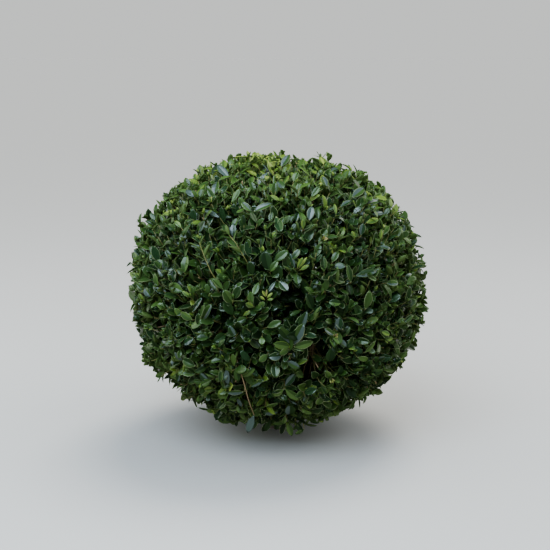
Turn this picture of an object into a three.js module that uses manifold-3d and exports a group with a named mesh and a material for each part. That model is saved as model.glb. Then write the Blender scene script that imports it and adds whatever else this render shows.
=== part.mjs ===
// A clipped ball of Japanese holly, rooted in the ground. Millimetres, +Z up, front towards -Y.
// The origin is the middle of the flat cut under the trunk, at ground level.
import * as THREE from "three";
import { mergeVertices } from "three/addons/utils/BufferGeometryUtils.js";
import Module from "manifold-3d";

const wasm = await Module();
wasm.setup();

// Driving dimensions of the clipped ball, over its leaf tips. It is squarer above its middle than below.
const ballWidth = 500;
const ballTop = 470;
const ballFoot = 14;
const upperSquareness = 2.25;
const lowerSquareness = 2.1;

// Trunk, from the flat cut to the tip that the leader grows on from
const trunk = {
  height: 92, footRadius: 13, tipRadius: 8, leanX: 7, leanY: -5,
  flare: 8, flareHeight: 24, flareLobes: 5, lobeDepth: 0.25, sides: 15, rings: 8,
};

// Boughs: where they leave the trunk, their radii, and how far out their tips lie, as a share of the ball
const bough = {
  lowStart: 40, highStart: 66, rootRadius: 6, tipRadius: 4.2, tipShare: 0.44,
  elbow: 0.5, rise: 0.46, sideDrop: 14, sides: 7, rings: 7,
};

// Each mass starts with a stem that carries its bough on into the core
const stem = { lead: 22, sides: 6, rings: 3 };

// The core under the twigs and the hollow in it for the boughs, both as shares of the ball
const core = {
  share: 0.84, foot: 62, gap: 1.6, detail: 4,
  lump: 0.025, lumpsAcross: 7, lumpsAlong: 6, lumpsUp: 8,
};
const hollow = { share: 0.5, mouthRadius: 42, sides: 12, bends: [-25, 5, 35, 62] };

// Twigs, by their count over the whole ball, and the leaves that stand round each on a spiral
const twig = {
  count: 112, tipShare: 0.93, sinkShare: 0.76, rootRadius: 3.2, tipRadius: 1.3, sides: 3,
  wander: 9, lowest: -0.97, aboveFoot: 9, lowRootShare: 0.75, lowRootFrom: 12, lowRootTo: 20, borderRoom: 1.6,
};
const leaf = {
  length: 47, width: 27, thickness: 1.5, crown: 2.4, widestAt: 0.54,
  perTwig: 5, firstAt: 0.55, lastAt: 0.97, innerSplay: 76, outerSplay: 36,
  smallest: 0.86, largest: 1.12, tries: 20, closerPerTry: 0.02, smallerPerTry: 0.03,
};
const clearance = 0.3;
const outlineSlack = 1.002;
const mergeWithin = 1e-3;
const goldenAngle = Math.PI * (3 - Math.sqrt(5));
const seed = 20417;

// The ball's middle and half sizes, worked out from the driving dimensions
const middle = new THREE.Vector3(0, 0, (ballTop + ballFoot) / 2);
const reach = new THREE.Vector3(ballWidth / 2, ballWidth / 2, (ballTop - ballFoot) / 2);

// Six sectors round the ball, named by the way they face, and the crown on top. Each has one bough, which
// leaves the trunk at the height start and ends drop degrees below the sector's middle. The crown's bough is
// the leader.
const sectors = [
  { name: "front", azimuth: -90, elevation: -7, start: bough.lowStart, drop: bough.sideDrop },
  { name: "front_right", azimuth: -33, elevation: -4, start: bough.highStart, drop: bough.sideDrop },
  { name: "back_right", azimuth: 31, elevation: -8, start: bough.lowStart, drop: bough.sideDrop },
  { name: "back", azimuth: 88, elevation: -4, start: bough.highStart, drop: bough.sideDrop },
  { name: "back_left", azimuth: 149, elevation: -7, start: bough.lowStart, drop: bough.sideDrop },
  { name: "front_left", azimuth: -148, elevation: -5, start: bough.highStart, drop: bough.sideDrop },
  { name: "crown", azimuth: 0, elevation: 90, start: trunk.height, drop: 0 },
];

const barkMaterial = new THREE.MeshStandardMaterial({ color: 0x6b5a45, roughness: 0.9, metalness: 0 });
const foliageMaterial = new THREE.MeshStandardMaterial({ color: 0x1f3f1c, roughness: 0.4, metalness: 0 });

// One seeded stream of numbers from 0 to 1
function seededRandom() {
  let state = seed;
  return () => {
    state = (state + 0x6d2b79f5) | 0;
    let t = Math.imul(state ^ (state >>> 15), 1 | state);
    t = (t + Math.imul(t ^ (t >>> 7), 61 | t)) ^ t;
    return ((t ^ (t >>> 14)) >>> 0) / 4294967296;
  };
}

function directionOf(azimuthDegrees, elevationDegrees) {
  const azimuth = THREE.MathUtils.degToRad(azimuthDegrees);
  const elevation = THREE.MathUtils.degToRad(elevationDegrees);
  return new THREE.Vector3(
    Math.cos(azimuth) * Math.cos(elevation),
    Math.sin(azimuth) * Math.cos(elevation),
    Math.sin(elevation),
  );
}

// How far out a point lies: 0 at the ball's middle, 1 on its surface. A squareness of 2 is an ellipsoid.
function shareOf(point) {
  const { x, y, z } = point.clone().sub(middle).divide(reach);
  const squareness = z > 0 ? upperSquareness : lowerSquareness;
  return (Math.hypot(x, y) ** squareness + Math.abs(z) ** squareness) ** (1 / squareness);
}

// The point a share of the way from the ball's middle to its surface along a direction
function inBall(direction, share) {
  const spread = direction.clone().multiply(reach);
  return spread.multiplyScalar(share / shareOf(spread.clone().add(middle))).add(middle);
}

// Solids and geometries, each way
function solidFrom(geometry) {
  const bare = new THREE.BufferGeometry();
  bare.setAttribute("position", geometry.getAttribute("position"));
  bare.setIndex(geometry.index);
  const merged = mergeVertices(bare, mergeWithin);
  const mesh = new wasm.Mesh({
    numProp: 3,
    vertProperties: new Float32Array(merged.attributes.position.array),
    triVerts: new Uint32Array(merged.index.array),
  });
  return new wasm.Manifold(mesh);
}

function geometryFrom(solid) {
  const mesh = solid.getMesh();
  const geometry = new THREE.BufferGeometry();
  geometry.setAttribute("position", new THREE.BufferAttribute(mesh.vertProperties, 3));
  geometry.setIndex(new THREE.BufferAttribute(mesh.triVerts, 1));
  return mergeVertices(geometry, mergeWithin);
}

// Moves every vertex of a geometry by a rule
function reshape(geometry, rule) {
  const position = geometry.getAttribute("position");
  const point = new THREE.Vector3();
  for (let i = 0; i < position.count; i++) {
    point.fromBufferAttribute(position, i);
    rule(point);
    position.setXYZ(i, point.x, point.y, point.z);
  }
  return geometry;
}

// A limb is a cylinder bent along a curve, its rings square to the curve and its radius set by a rule
function limbAlong(curve, radiusAt, sides, steps) {
  const start = curve.getTangent(0);
  const side = new THREE.Vector3(0, 0, 1).cross(start);
  if (side.lengthSq() < 1e-6) side.set(1, 0, 0);
  side.normalize();
  return reshape(new THREE.CylinderGeometry(1, 1, 1, sides, steps), (point) => {
    const t = point.y + 0.5;
    const along = curve.getTangent(t);
    const across = side.clone().addScaledVector(along, -side.dot(along)).normalize();
    const up = across.clone().cross(along);
    const radius = radiusAt(t);
    const { x, z } = point;
    point.copy(curve.getPoint(t)).addScaledVector(across, x * radius).addScaledVector(up, z * radius);
  });
}

// The trunk's own axis at a height: it leans a little more as it rises
function trunkAxis(height) {
  const share = height / trunk.height;
  return new THREE.Vector3(trunk.leanX * share * share, trunk.leanY * share, height);
}

// The trunk keeps its rings level, so that the cut at the ground is flat, and swells into root flares
function trunkGeometry(grownBy = 0) {
  return reshape(new THREE.CylinderGeometry(1, 1, 1, trunk.sides, trunk.rings), (point) => {
    const share = point.y + 0.5;
    const height = share * trunk.height;
    const angle = Math.atan2(point.z, point.x);
    const foot = Math.max(0, 1 - height / trunk.flareHeight) ** 2;
    const taper = THREE.MathUtils.lerp(trunk.footRadius, trunk.tipRadius, share);
    const lobe = 1 - trunk.lobeDepth * (1 - Math.cos(trunk.flareLobes * angle));
    const radius = taper + trunk.flare * foot * lobe + grownBy;
    const axis = trunkAxis(height);
    point.set(axis.x + point.x * radius, axis.y - point.z * radius, height + (share === 1 ? grownBy : 0));
  });
}

// A bough rises out of the trunk, then swings out to its sector
function boughCurve(sector) {
  const root = trunkAxis(sector.start);
  const tip = inBall(directionOf(sector.azimuth, sector.elevation - sector.drop), bough.tipShare);
  const elbow = root.clone().lerp(tip, bough.elbow);
  elbow.z = THREE.MathUtils.lerp(root.z, tip.z, bough.rise);
  return new THREE.QuadraticBezierCurve3(root, elbow, tip);
}

function boughGeometry(sector) {
  const radiusAt = (t) => THREE.MathUtils.lerp(bough.rootRadius, bough.tipRadius, t);
  return limbAlong(boughCurve(sector), radiusAt, bough.sides, bough.rings);
}

// The planes between a sector and its neighbours pass through the ball's middle, half way between them
function bordersOf(sector) {
  const own = directionOf(sector.azimuth, sector.elevation);
  return sectors
    .filter((other) => other !== sector)
    .map((other) => directionOf(other.azimuth, other.elevation).sub(own).normalize());
}

// How far a point keeps inside its sector's borders
function depthInSector(point, borders) {
  const fromMiddle = point.clone().sub(middle);
  return Math.min(...borders.map((normal) => -normal.dot(fromMiddle)));
}

// Moves a point that is too near its sector's borders further in
function keepInside(point, borders, depth) {
  for (const normal of borders) {
    const short = depth + normal.dot(point.clone().sub(middle));
    if (short > 0) point.addScaledVector(normal, -short);
  }
}

// A box whose lower face lies on a border and whose bulk covers the neighbour's side
function beyondBorder(normal, gap) {
  const side = ballWidth * 2;
  const box = new THREE.BoxGeometry(side, side, side);
  box.applyQuaternion(new THREE.Quaternion().setFromUnitVectors(new THREE.Vector3(0, 0, 1), normal));
  const centre = middle.clone().addScaledVector(normal, side / 2 - gap);
  box.translate(centre.x, centre.y, centre.z);
  return solidFrom(box);
}

// The hollow's outline, from its mouth below up over its round top
function hollowProfile() {
  const profile = [new THREE.Vector2(0, 0), new THREE.Vector2(hollow.mouthRadius, 0)];
  profile.push(new THREE.Vector2(hollow.mouthRadius, core.foot));
  for (const degrees of hollow.bends) {
    const angle = THREE.MathUtils.degToRad(degrees);
    const radius = Math.cos(angle) * hollow.share * reach.x;
    profile.push(new THREE.Vector2(radius, middle.z + Math.sin(angle) * hollow.share * reach.z));
  }
  profile.push(new THREE.Vector2(0, middle.z + hollow.share * reach.z));
  return profile;
}

// The core is a lumpy ball, smaller than the clipped one, with a hollow for the boughs that opens below
function coreSolid() {
  const ball = reshape(new THREE.IcosahedronGeometry(1, core.detail), (point) => {
    const { x, y, z } = point;
    const lumps = Math.sin(core.lumpsAcross * x) * Math.sin(core.lumpsAlong * y) * Math.sin(core.lumpsUp * z);
    point.copy(inBall(point, core.share + core.lump * lumps));
  });
  const inside = new THREE.LatheGeometry(hollowProfile(), hollow.sides);
  inside.rotateX(Math.PI / 2);
  const below = new THREE.BoxGeometry(ballWidth, ballWidth, core.foot);
  below.translate(0, 0, core.foot / 2);
  return solidFrom(ball).subtract(solidFrom(inside)).subtract(solidFrom(below));
}

// A leaf is a ball of four sides and two rows, pressed into a thin blade that is widest past its middle
function leafGeometry(root, along, face, size) {
  const side = along.clone().cross(face).normalize();
  return reshape(new THREE.SphereGeometry(1, 4, 2), (point) => {
    const { x, y, z } = point;
    const share = (x + 1) / 2 + (leaf.widestAt - 0.5) * (1 - x * x);
    const bulge = Math.abs(y) * leaf.crown + (y * leaf.thickness) / 2;
    point.copy(root).addScaledVector(along, share * leaf.length * size);
    point.addScaledVector(side, (z * leaf.width * size) / 2).addScaledVector(face, bulge * size);
  });
}

function verticesOf(geometry) {
  const position = geometry.getAttribute("position");
  const vertexAt = (_, i) => new THREE.Vector3().fromBufferAttribute(position, i);
  return Array.from({ length: position.count }, vertexAt);
}

// Twig tips lie evenly over the ball on a spiral, apart from the bare foot round the trunk
function twigTips(random) {
  return Array.from({ length: twig.count }, (_, i) => {
    const height = 1 - ((i + 0.5) / twig.count) * (1 - twig.lowest);
    const ring = Math.sqrt(1 - height * height);
    const angle = i * goldenAngle;
    const direction = new THREE.Vector3(ring * Math.cos(angle), ring * Math.sin(angle), height);
    const tip = inBall(direction, twig.tipShare);
    const stray = new THREE.Vector3(random() - 0.5, random() - 0.5, random() - 0.5);
    return tip.addScaledVector(stray, twig.wander);
  });
}

// A twig comes out of the core towards its tip. Low ones hang from the core's foot.
function twigRoot(tip) {
  const root = tip.clone().sub(middle).multiplyScalar(twig.sinkShare / twig.tipShare).add(middle);
  const lowest = core.foot + twig.aboveFoot;
  if (root.z >= lowest) return root;
  const radius = THREE.MathUtils.clamp(
    Math.hypot(tip.x, tip.y) * twig.lowRootShare,
    hollow.mouthRadius + twig.lowRootFrom,
    hollow.mouthRadius + twig.lowRootTo,
  );
  return new THREE.Vector3(tip.x, tip.y, 0).setLength(radius).setZ(lowest);
}

function twigGeometry(root, tip) {
  const along = tip.clone().sub(root);
  const stick = new THREE.CylinderGeometry(twig.tipRadius, twig.rootRadius, along.length(), twig.sides, 1);
  const turn = new THREE.Quaternion().setFromUnitVectors(new THREE.Vector3(0, 1, 0), along.normalize());
  stick.applyQuaternion(turn);
  const centre = root.clone().lerp(tip, 0.5);
  return stick.translate(centre.x, centre.y, centre.z);
}

// Leaves stand round a twig on a spiral, the outer ones closer to its own direction
function leavesOf(root, tip, random) {
  const along = tip.clone().sub(root).normalize();
  const aside = new THREE.Vector3(0, 0, 1).cross(along).normalize();
  const above = along.clone().cross(aside);
  let turn = random() * 2 * Math.PI;
  return Array.from({ length: leaf.perTwig }, (_, i) => {
    const share = i / (leaf.perTwig - 1);
    const splay = THREE.MathUtils.degToRad(THREE.MathUtils.lerp(leaf.innerSplay, leaf.outerSplay, share));
    turn += goldenAngle;
    const at = root.clone().lerp(tip, THREE.MathUtils.lerp(leaf.firstAt, leaf.lastAt, share));
    return { at, splay, turn, along, aside, above };
  });
}

// Tries a leaf at several turns round its twig, and gives the first that fits
function fittedLeaf(place, fits, random) {
  for (let attempt = 0; attempt < leaf.tries; attempt++) {
    const turn = place.turn + attempt * goldenAngle;
    const splay = place.splay * (1 - leaf.closerPerTry * attempt);
    const outward = place.aside.clone().multiplyScalar(Math.cos(turn));
    outward.addScaledVector(place.above, Math.sin(turn));
    const direction = place.along.clone().multiplyScalar(Math.cos(splay));
    direction.addScaledVector(outward, Math.sin(splay));
    const face = place.along.clone().multiplyScalar(Math.sin(splay));
    face.addScaledVector(outward, -Math.cos(splay));
    const grown = THREE.MathUtils.lerp(leaf.smallest, leaf.largest, random());
    const size = grown * (1 - leaf.smallerPerTry * attempt);
    const geometry = leafGeometry(place.at, direction, face, size);
    if (fits(geometry)) return geometry;
  }
  return null;
}

// One mass: its part of the core, the stem that meets the bough's tip, twigs, and leaves fused on
function foliageSolid(sector, wholeCore, tips, limbs, random) {
  const borders = bordersOf(sector);
  const inSpace = (point, margin) =>
    depthInSector(point, borders) > margin && shareOf(point) < outlineSlack && point.z > ballFoot;

  let coreHere = wholeCore;
  for (const normal of borders) coreHere = coreHere.subtract(beyondBorder(normal, core.gap / 2));
  const pieces = [coreHere];

  const curve = boughCurve(sector);
  const along = curve.getTangent(1);
  const stemRoot = curve.getPoint(1).addScaledVector(along, clearance);
  const stemBend = stemRoot.clone().addScaledVector(along, stem.lead);
  const stemTip = inBall(directionOf(sector.azimuth, sector.elevation), (core.share + hollow.share) / 2);
  const stemLine = new THREE.QuadraticBezierCurve3(stemRoot, stemBend, stemTip);
  pieces.push(solidFrom(limbAlong(stemLine, () => bough.tipRadius, stem.sides, stem.rings)));

  const placed = [...limbs, coreHere];
  for (const tip of tips) {
    if (depthInSector(tip, borders) < 0) continue;
    keepInside(tip, borders, twig.rootRadius * twig.borderRoom);
    const root = twigRoot(tip);
    const stick = twigGeometry(root, tip);
    if (!verticesOf(stick).every((point) => inSpace(point, clearance))) continue;
    const stickSolid = solidFrom(stick);
    const clashes = (solid) => placed.some((other) => !other.intersect(solid).isEmpty());
    pieces.push(stickSolid);
    for (const place of leavesOf(root, tip, random)) {
      const fits = (geometry) =>
        verticesOf(geometry).every((point) => inSpace(point, clearance)) && !clashes(solidFrom(geometry));
      const blade = fittedLeaf(place, fits, random);
      if (!blade) continue;
      const bladeSolid = solidFrom(blade);
      pieces.push(bladeSolid);
      placed.push(bladeSolid);
    }
    placed.push(stickSolid);
  }
  return wasm.Manifold.union(pieces);
}

function namedMesh(name, geometry, material) {
  const mesh = new THREE.Mesh(geometry, material);
  mesh.name = name;
  return mesh;
}

const plant = new THREE.Group();
plant.add(namedMesh("trunk", trunkGeometry(), barkMaterial));

const trunkRoom = solidFrom(trunkGeometry(clearance));
const limbs = [trunkRoom];
for (const sector of sectors) {
  const limb = solidFrom(boughGeometry(sector)).subtract(trunkRoom);
  limbs.push(limb);
  plant.add(namedMesh(`bough_${sector.name}`, geometryFrom(limb), barkMaterial));
}

const wholeCore = coreSolid();
const random = seededRandom();
const tips = twigTips(random);
for (const sector of sectors) {
  const solid = foliageSolid(sector, wholeCore, tips, limbs, random);
  plant.add(namedMesh(`foliage_${sector.name}`, geometryFrom(solid), foliageMaterial));
}

export default plant;
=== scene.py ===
# A clipped ball of Japanese holly. Bark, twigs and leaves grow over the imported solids, in metres.
import math

import bmesh
import bpy
import numpy as np
from mathutils import Matrix, Vector, noise


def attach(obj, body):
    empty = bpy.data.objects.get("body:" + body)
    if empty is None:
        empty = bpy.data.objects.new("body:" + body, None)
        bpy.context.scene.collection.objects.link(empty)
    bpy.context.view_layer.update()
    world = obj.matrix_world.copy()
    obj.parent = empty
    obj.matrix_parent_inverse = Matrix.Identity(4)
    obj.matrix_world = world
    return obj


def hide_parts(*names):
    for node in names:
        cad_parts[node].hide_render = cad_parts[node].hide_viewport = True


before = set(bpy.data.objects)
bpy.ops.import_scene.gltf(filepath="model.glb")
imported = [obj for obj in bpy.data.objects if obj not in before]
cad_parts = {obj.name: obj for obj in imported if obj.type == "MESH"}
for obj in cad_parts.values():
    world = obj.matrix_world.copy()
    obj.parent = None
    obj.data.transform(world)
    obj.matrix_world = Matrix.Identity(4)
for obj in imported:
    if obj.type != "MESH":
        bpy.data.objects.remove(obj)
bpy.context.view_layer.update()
mm = 0.001
up = Vector((0, 0, 1))
goldenAngle = math.pi * (3 - math.sqrt(5))
print("frame loaded:", len(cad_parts), "nodes")

# The clipped ball over its leaf tips, as in the solids
ball = {"width": 500 * mm, "top": 470 * mm, "foot": 14 * mm, "squareness": 2.25, "lowSquareness": 2.1}
middle = Vector((0, 0, (ball["top"] + ball["foot"]) / 2))
reach = Vector((ball["width"] / 2, ball["width"] / 2, (ball["top"] - ball["foot"]) / 2))

# Each mass by the way it faces: azimuth, elevation, and the height where its bough leaves the trunk
sectors = {
    "front": (-90, -7, 40 * mm),
    "front_right": (-33, -4, 66 * mm),
    "back_right": (31, -8, 40 * mm),
    "back": (88, -4, 66 * mm),
    "back_left": (149, -7, 40 * mm),
    "front_left": (-148, -5, 66 * mm),
    "crown": (0, 90, 92 * mm),
}


def directionOf(azimuth, elevation):
    a = math.radians(azimuth)
    e = math.radians(elevation)
    return Vector((math.cos(a) * math.cos(e), math.sin(a) * math.cos(e), math.sin(e)))


sectorAxes = {name: directionOf(azimuth, elevation) for name, (azimuth, elevation, _) in sectors.items()}


def shareOf(point):  # 0 at the ball's middle, 1 on its surface
    q = point - middle
    power = ball["squareness" if q.z > 0 else "lowSquareness"]
    ring = math.hypot(q.x / reach.x, q.y / reach.y)
    return (ring**power + abs(q.z / reach.z) ** power) ** (1 / power)


def inBall(direction, share):
    spread = Vector((direction.x * reach.x, direction.y * reach.y, direction.z * reach.z))
    return middle + spread * (share / shareOf(middle + spread))


def onBall(azimuth, elevation, share):
    return inBall(directionOf(azimuth, elevation), share)


def outwardAt(point):  # the way the ball's surface faces nearby
    q = point - middle
    return Vector((q.x / reach.x**2, q.y / reach.y**2, q.z / reach.z**2)).normalized()


def sectorOf(point):
    q = point - middle
    return max(sectorAxes, key=lambda name: sectorAxes[name].dot(q))


def seededStream(seed):  # the solids' own stream of numbers, so that the twigs fall where they do there
    mask = 0xFFFFFFFF
    state = seed
    while True:
        state = (state + 0x6D2B79F5) & mask
        t = ((state ^ (state >> 15)) * (1 | state)) & mask
        t = ((t + (((t ^ (t >> 7)) * (61 | t)) & mask)) & mask) ^ t
        yield (t ^ (t >> 14)) / 2**32


seeds = {"twigs": 20417, "noise": 13}
stream = seededStream(seeds["twigs"])
noise.seed_set(seeds["noise"])  # or the crooked twigs differ from run to run


def between(low, high):
    return low + (high - low) * next(stream)


def swing(most):  # either way from nought
    return between(-most, most)


def asArray(points):
    return np.array([point[:] for point in points])


def squaredGaps(places, point):
    return ((places - np.array(point)) ** 2).sum(axis=1)


def alongBezier(points, count):
    a, b, c, d = points
    path = []
    for i in range(count):
        t = i / (count - 1)
        s = 1 - t
        path.append(a * s**3 + b * (3 * s * s * t) + c * (3 * s * t * t) + d * t**3)
    return path


def addObject(name, data):
    added = bpy.data.objects.new(name, data)
    bpy.context.scene.collection.objects.link(added)
    return added


def addMaterial(piece, *materials):
    for material in materials:
        piece.data.materials.append(material)


def seatPiece(piece, node):  # every piece rides on the plant's one body
    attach(piece, "root")
    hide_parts(node)


# Materials


def fillInputs(node, values):
    for socket, value in values.items():
        node.inputs[socket].default_value = value
    return node


def addNode(tree, kind, values):
    return fillInputs(tree.nodes.new("ShaderNode" + kind), values)


def addRamp(tree, *stops):  # each stop is a place and a colour
    ramp = tree.nodes.new("ShaderNodeValToRGB")
    for element, (place, colour) in zip(ramp.color_ramp.elements, stops):
        element.position = place
        element.color = (*colour, 1)
    return ramp


def layOver(tree, base, colour, share):  # a plain colour over another, by a share
    mix = tree.nodes.new("ShaderNodeMix")
    mix.data_type = "RGBA"
    mix.inputs["B"].default_value = (*colour, 1)
    tree.links.new(share, mix.inputs["Factor"])
    tree.links.new(base, mix.inputs["A"])
    return mix.outputs["Result"]


def newMaterial(name, look):
    material = bpy.data.materials.new(name)
    material.use_nodes = True
    fillInputs(material.node_tree.nodes["Principled BSDF"], look)
    return material


def plainMaterial(name, colour, roughness, gloss=0.0):
    wax = {"Coat Weight": gloss, "Coat Roughness": waxRoughness}
    return newMaterial(name, {"Base Color": (*colour, 1), "Roughness": roughness, **wax})


# The bark is its own grey-brown, darkened further as painted shade for the trunk under the foliage
barkLook = {
    "dark": (0.030, 0.025, 0.019), "light": (0.105, 0.092, 0.075), "darkAt": 0.34, "lightAt": 0.62,
    "scale": 120, "stretch": 0.3, "detail": 8, "grain": 0.65, "roughness": 0.85,
    "relief": 0.35, "reliefDepth": 1 * mm,
    "lichen": (0.13, 0.14, 0.11), "lichenScale": 48, "lichenFrom": 0.58, "lichenTo": 0.70, "lichenMost": 0.55,
}


def barkMaterial():
    material = newMaterial("holly bark", {"Roughness": barkLook["roughness"]})
    tree = material.node_tree
    link = tree.links.new
    shader = tree.nodes["Principled BSDF"]
    place = tree.nodes.new("ShaderNodeTexCoord").outputs["Object"]
    stretch = addNode(tree, "Mapping", {"Scale": (1, 1, barkLook["stretch"])})
    link(place, stretch.inputs["Vector"])
    grain = {"Scale": barkLook["scale"], "Detail": barkLook["detail"], "Roughness": barkLook["grain"]}
    furrows = addNode(tree, "TexNoise", grain)
    link(stretch.outputs["Vector"], furrows.inputs["Vector"])
    ramp = addRamp(tree, (barkLook["darkAt"], barkLook["dark"]), (barkLook["lightAt"], barkLook["light"]))
    link(furrows.outputs["Fac"], ramp.inputs["Fac"])

    blotches = addNode(tree, "TexNoise", {"Scale": barkLook["lichenScale"]})
    link(place, blotches.inputs["Vector"])
    rise = {"From Min": barkLook["lichenFrom"], "From Max": barkLook["lichenTo"]}
    edge = addNode(tree, "MapRange", {**rise, "To Max": barkLook["lichenMost"]})
    link(blotches.outputs["Fac"], edge.inputs["Value"])
    colour = layOver(tree, ramp.outputs["Color"], barkLook["lichen"], edge.outputs["Result"])
    link(colour, shader.inputs["Base Color"])

    bump = addNode(tree, "Bump", {"Strength": barkLook["relief"], "Distance": barkLook["reliefDepth"]})
    link(furrows.outputs["Fac"], bump.inputs["Height"])
    link(bump.outputs["Normal"], shader.inputs["Normal"])
    return material


# Leaf colours from the darkest to the lightest, then the odd ones: base colour, roughness, gloss. A leaf's
# place on this scale comes from its age and also from painted light and shade
leafColours = {
    "deep": ((0.013, 0.034, 0.009), 0.38, 0.30),
    "dark": ((0.021, 0.052, 0.013), 0.36, 0.45),
    "green": ((0.040, 0.086, 0.019), 0.36, 0.45),
    "mid": ((0.069, 0.132, 0.030), 0.38, 0.35),
    "fresh": ((0.130, 0.205, 0.035), 0.42, 0.20),
    "young": ((0.250, 0.320, 0.070), 0.46, 0.15),
    "sheen": ((0.022, 0.056, 0.020), 0.27, 0.90),
    # a glossy leaf whose pale bluish base colour is a painted gleam
    "paintedGleam": ((0.068, 0.100, 0.086), 0.30, 0.80),
    "yellow": ((0.420, 0.340, 0.040), 0.50, 0.05),
    "dry": ((0.260, 0.195, 0.105), 0.80, 0.00),
}
otherLooks = {
    # the margin's pale colour is partly the edge's own paler tone and partly a painted glint on the rolled
    # rim
    "leaf margin": ((0.195, 0.242, 0.122), 0.40),
    "leaf underside": ((0.090, 0.150, 0.040), 0.55),
    "green shoot": ((0.215, 0.205, 0.075), 0.55),
    "brown twig": ((0.220, 0.165, 0.090), 0.75),
}
waxRoughness = 0.22  # of the gloss on a leaf
kindOf = list(leafColours).index
youngest = kindOf("young")
bark = barkMaterial()
leafTops = [plainMaterial("leaf " + kind, *look) for kind, look in leafColours.items()]
leafEdge, leafBack, greenShoot, brownTwig = (plainMaterial(name, *look) for name, look in otherLooks.items())
print("materials ready:", len(bpy.data.materials))


# Trunk and boughs, each swept from a ring by extruding it, with the bark's relief pressed in after
trunk = {
    "height": 92 * mm, "footRadius": 13 * mm, "tipRadius": 8 * mm, "leanX": 7 * mm, "leanY": -5 * mm,
    "flare": 8 * mm, "flareHeight": 24 * mm, "flareLobes": 5, "lobeDepth": 0.25, "sides": 60, "rings": 72,
    "relief": 1.3 * mm,
}
bough = {
    "rootRadius": 6 * mm, "tipRadius": 4.2 * mm, "tipShare": 0.44, "elbow": 0.5, "rise": 0.46, "drop": -14,
    "collar": 3.0 * mm, "collarLength": 16 * mm, "sides": 28, "rings": 70, "relief": 0.7 * mm,
}


def trunkAxis(height):
    share = height / trunk["height"]
    return Vector((trunk["leanX"] * share * share, trunk["leanY"] * share, height))


def trunkRadius(height, angle):
    share = height / trunk["height"]
    foot = max(0, 1 - height / trunk["flareHeight"]) ** 2
    lobe = 1 - trunk["lobeDepth"] + trunk["lobeDepth"] * math.cos(trunk["flareLobes"] * angle)
    taper = trunk["footRadius"] + (trunk["tipRadius"] - trunk["footRadius"]) * share
    return taper + trunk["flare"] * foot * lobe


def boughPath(name):  # one bend at the elbow, written as the four points of a Bezier curve
    azimuth, elevation, start = sectors[name]
    root = trunkAxis(start)
    drop = 0 if name == "crown" else bough["drop"]
    tip = onBall(azimuth, elevation + drop, bough["tipShare"])
    elbow = root.lerp(tip, bough["elbow"])
    elbow.z = root.z + (tip.z - root.z) * bough["rise"]
    return [root, root.lerp(elbow, 2 / 3), tip.lerp(elbow, 2 / 3), tip]


# Long shallow furrows with small warts
relief = {
    "across": 260, "along": 60, "smoothness": 0.8, "finer": 2.1, "octaves": 4, "furrows": 0.5,
    "wartScale": 420, "wartsFrom": 0.45, "warts": 1.6,
}


def barkRelief(point, depth):
    place = Vector((point.x * relief["across"], point.y * relief["across"], point.z * relief["along"]))
    furrow = noise.fractal(place, relief["smoothness"], relief["finer"], relief["octaves"])
    wart = max(0, noise.noise(point * relief["wartScale"]) - relief["wartsFrom"])
    return depth * (relief["furrows"] * furrow + relief["warts"] * wart)


def sweepRing(name, centres, axes, radiusAt, sides, depth):
    bm = bmesh.new()
    ring = bmesh.ops.create_circle(bm, cap_ends=False, segments=sides, radius=1)["verts"]
    edges = list(bm.edges)
    places = [
        Matrix.Translation(centre) @ up.rotation_difference(axis).to_matrix().to_4x4()
        for centre, axis in zip(centres, axes)
    ]
    bmesh.ops.transform(bm, matrix=places[0], verts=ring)
    owner = {v: 0 for v in ring}
    for step in range(1, len(places)):
        new = bmesh.ops.extrude_edge_only(bm, edges=edges)["geom"]
        verts = [v for v in new if isinstance(v, bmesh.types.BMVert)]
        edges = [e for e in new if isinstance(e, bmesh.types.BMEdge) and all(v in verts for v in e.verts)]
        bmesh.ops.transform(bm, matrix=places[step] @ places[step - 1].inverted(), verts=verts)
        for v in verts:
            owner[v] = step
    for v, step in owner.items():
        way = v.co - centres[step]
        local = places[step].inverted() @ v.co
        radius = radiusAt(step, math.atan2(local.y, local.x))
        v.co = centres[step] + way * radius
        v.co += way * barkRelief(v.co, depth)
    bmesh.ops.holes_fill(bm, edges=bm.edges[:], sides=sides)
    bmesh.ops.recalc_face_normals(bm, faces=bm.faces)
    for face in bm.faces:
        face.smooth = len(face.verts) < 5  # all but the two ends
    mesh = bpy.data.meshes.new(name)
    bm.to_mesh(mesh)
    bm.free()
    piece = addObject(name, mesh)
    addMaterial(piece, bark)
    return piece


def makeTrunk():
    heights = [trunk["height"] * i / trunk["rings"] for i in range(trunk["rings"] + 1)]
    centres = [trunkAxis(height) for height in heights]
    piece = sweepRing(
        "trunk_bark", centres, [up] * len(centres),
        lambda step, angle: trunkRadius(heights[step], angle), trunk["sides"], trunk["relief"],
    )
    for v in piece.data.vertices:  # the cut at the ground stays flat
        v.co.z = max(v.co.z, 0)
    return piece


def makeBough(name, path):
    centres = alongBezier(path, bough["rings"])
    axes = [(b - a).normalized() for a, b in zip(centres, centres[1:])]
    axes.append(axes[-1])
    travelled = [0.0]
    for a, b in zip(centres, centres[1:]):
        travelled.append(travelled[-1] + (b - a).length)

    def radiusAt(step, angle):
        share = travelled[step] / travelled[-1]
        taper = bough["rootRadius"] + (bough["tipRadius"] - bough["rootRadius"]) * share
        return taper + bough["collar"] * math.exp(-travelled[step] / bough["collarLength"])

    return sweepRing("bough_bark_" + name, centres, axes, radiusAt, bough["sides"], bough["relief"])


seatPiece(makeTrunk(), "trunk")
boughPaths = {name: boughPath(name) for name in sectors}
for name, path in boughPaths.items():
    seatPiece(makeBough(name, path), "bough_" + name)
print("trunk and boughs done")


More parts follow.
